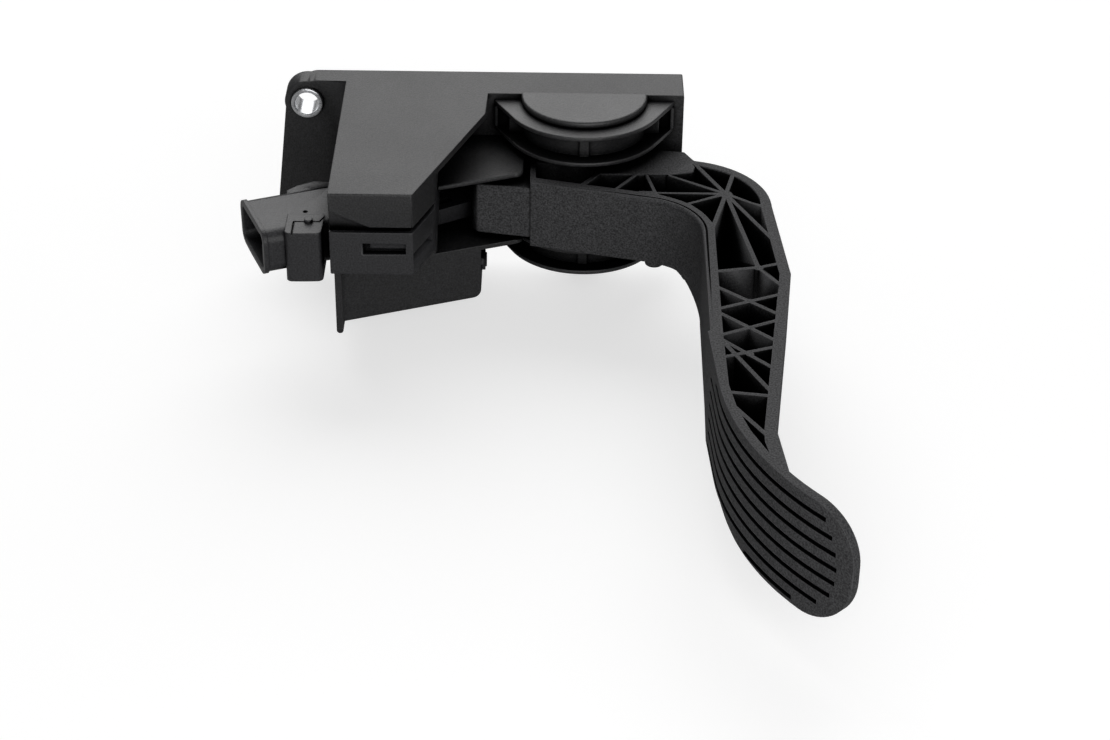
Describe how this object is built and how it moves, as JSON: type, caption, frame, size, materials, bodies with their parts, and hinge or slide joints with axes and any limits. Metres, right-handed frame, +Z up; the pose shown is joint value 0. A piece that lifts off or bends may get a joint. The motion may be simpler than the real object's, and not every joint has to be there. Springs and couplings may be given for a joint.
{
  "type": "accelerator pedal with position sensor",
  "caption": "Hanging accelerator pedal with a truss-ribbed plastic arm and grooved curved pad, sprung in twin drums on a housing, with a forked-lever position sensor and side connector.",
  "frame": {"origin": "on the mounting plane, straight behind the pivot axis and on the centre plane of the pedal arm", "axes": "+X along the pivot axis, +Y out of the back of the housing towards the bulkhead, +Z up, away from the pad; the driver is at -Y"},
  "size_m": [0.0785, 0.2515, 0.1995],
  "materials": {
    "black_plastic": "fine grained, glass-filled",
    "arm_plastic": "fine grained, glass-filled",
    "sensor_plastic": "satin, glass-filled",
    "zinc_steel": "zinc plated, turned",
    "steel": "ground",
    "spring_steel": "drawn wire",
    "acetal": "smooth natural acetal",
    "stop_rubber": "matt",
    "seal_silicone": "matt",
    "board": "varnished",
    "chip": "matt",
    "contact_brass": "bright",
    "magnet": "sintered ferrite"
  },
  "bodies": {
    "housing": {"housing": "black_plastic", "mounting_bushings": "zinc_steel", "pivot_pin": "steel", "upper_drum_case": "black_plastic", "lower_drum_case": "black_plastic", "upper_drum_cap": "black_plastic", "lower_drum_cap": "black_plastic", "upper_return_spring": "spring_steel", "lower_return_spring": "spring_steel", "upper_friction_washer": "acetal", "lower_friction_washer": "acetal", "idle_stop_pad": "stop_rubber", "full_stop_pad": "stop_rubber", "sensor_case": "sensor_plastic", "case_lid": "sensor_plastic", "lid_gasket": "seal_silicone", "circuit_board": "board", "hall_chips": "chip", "contact_pins": "contact_brass", "connector_collar": "sensor_plastic", "shaft_seal": "seal_silicone"},
    "pedal": {"pedal_arm": "arm_plastic", "upper_pivot_bush": "acetal", "lower_pivot_bush": "acetal", "drive_pin": "steel"},
    "rotor": {"drive_lever": "sensor_plastic", "sensor_rotor": "acetal", "rotor_magnet": "magnet"}
  },
  "joints": [
    {"name": "pedal_hinge", "type": "hinge", "parent": "housing", "child": "pedal", "pos_m": [0, -0.018, 0], "axis": [1, 0, 0], "range_deg": [0, 13], "stiffness_Nm_per_rad": 2.6, "springref_deg": -51.57, "deforming": ["upper_return_spring", "lower_return_spring"]},
    {"name": "rotor_hinge", "type": "hinge", "parent": "housing", "child": "rotor", "pos_m": [0.006, -0.05, 0.07], "axis": [1, 0, 0], "range_deg": [-13.8, 0.2]}
  ],
  "couplings": [
    {"joint": "rotor_hinge", "follows": "pedal_hinge", "ratio": -1.0401}
  ]
}
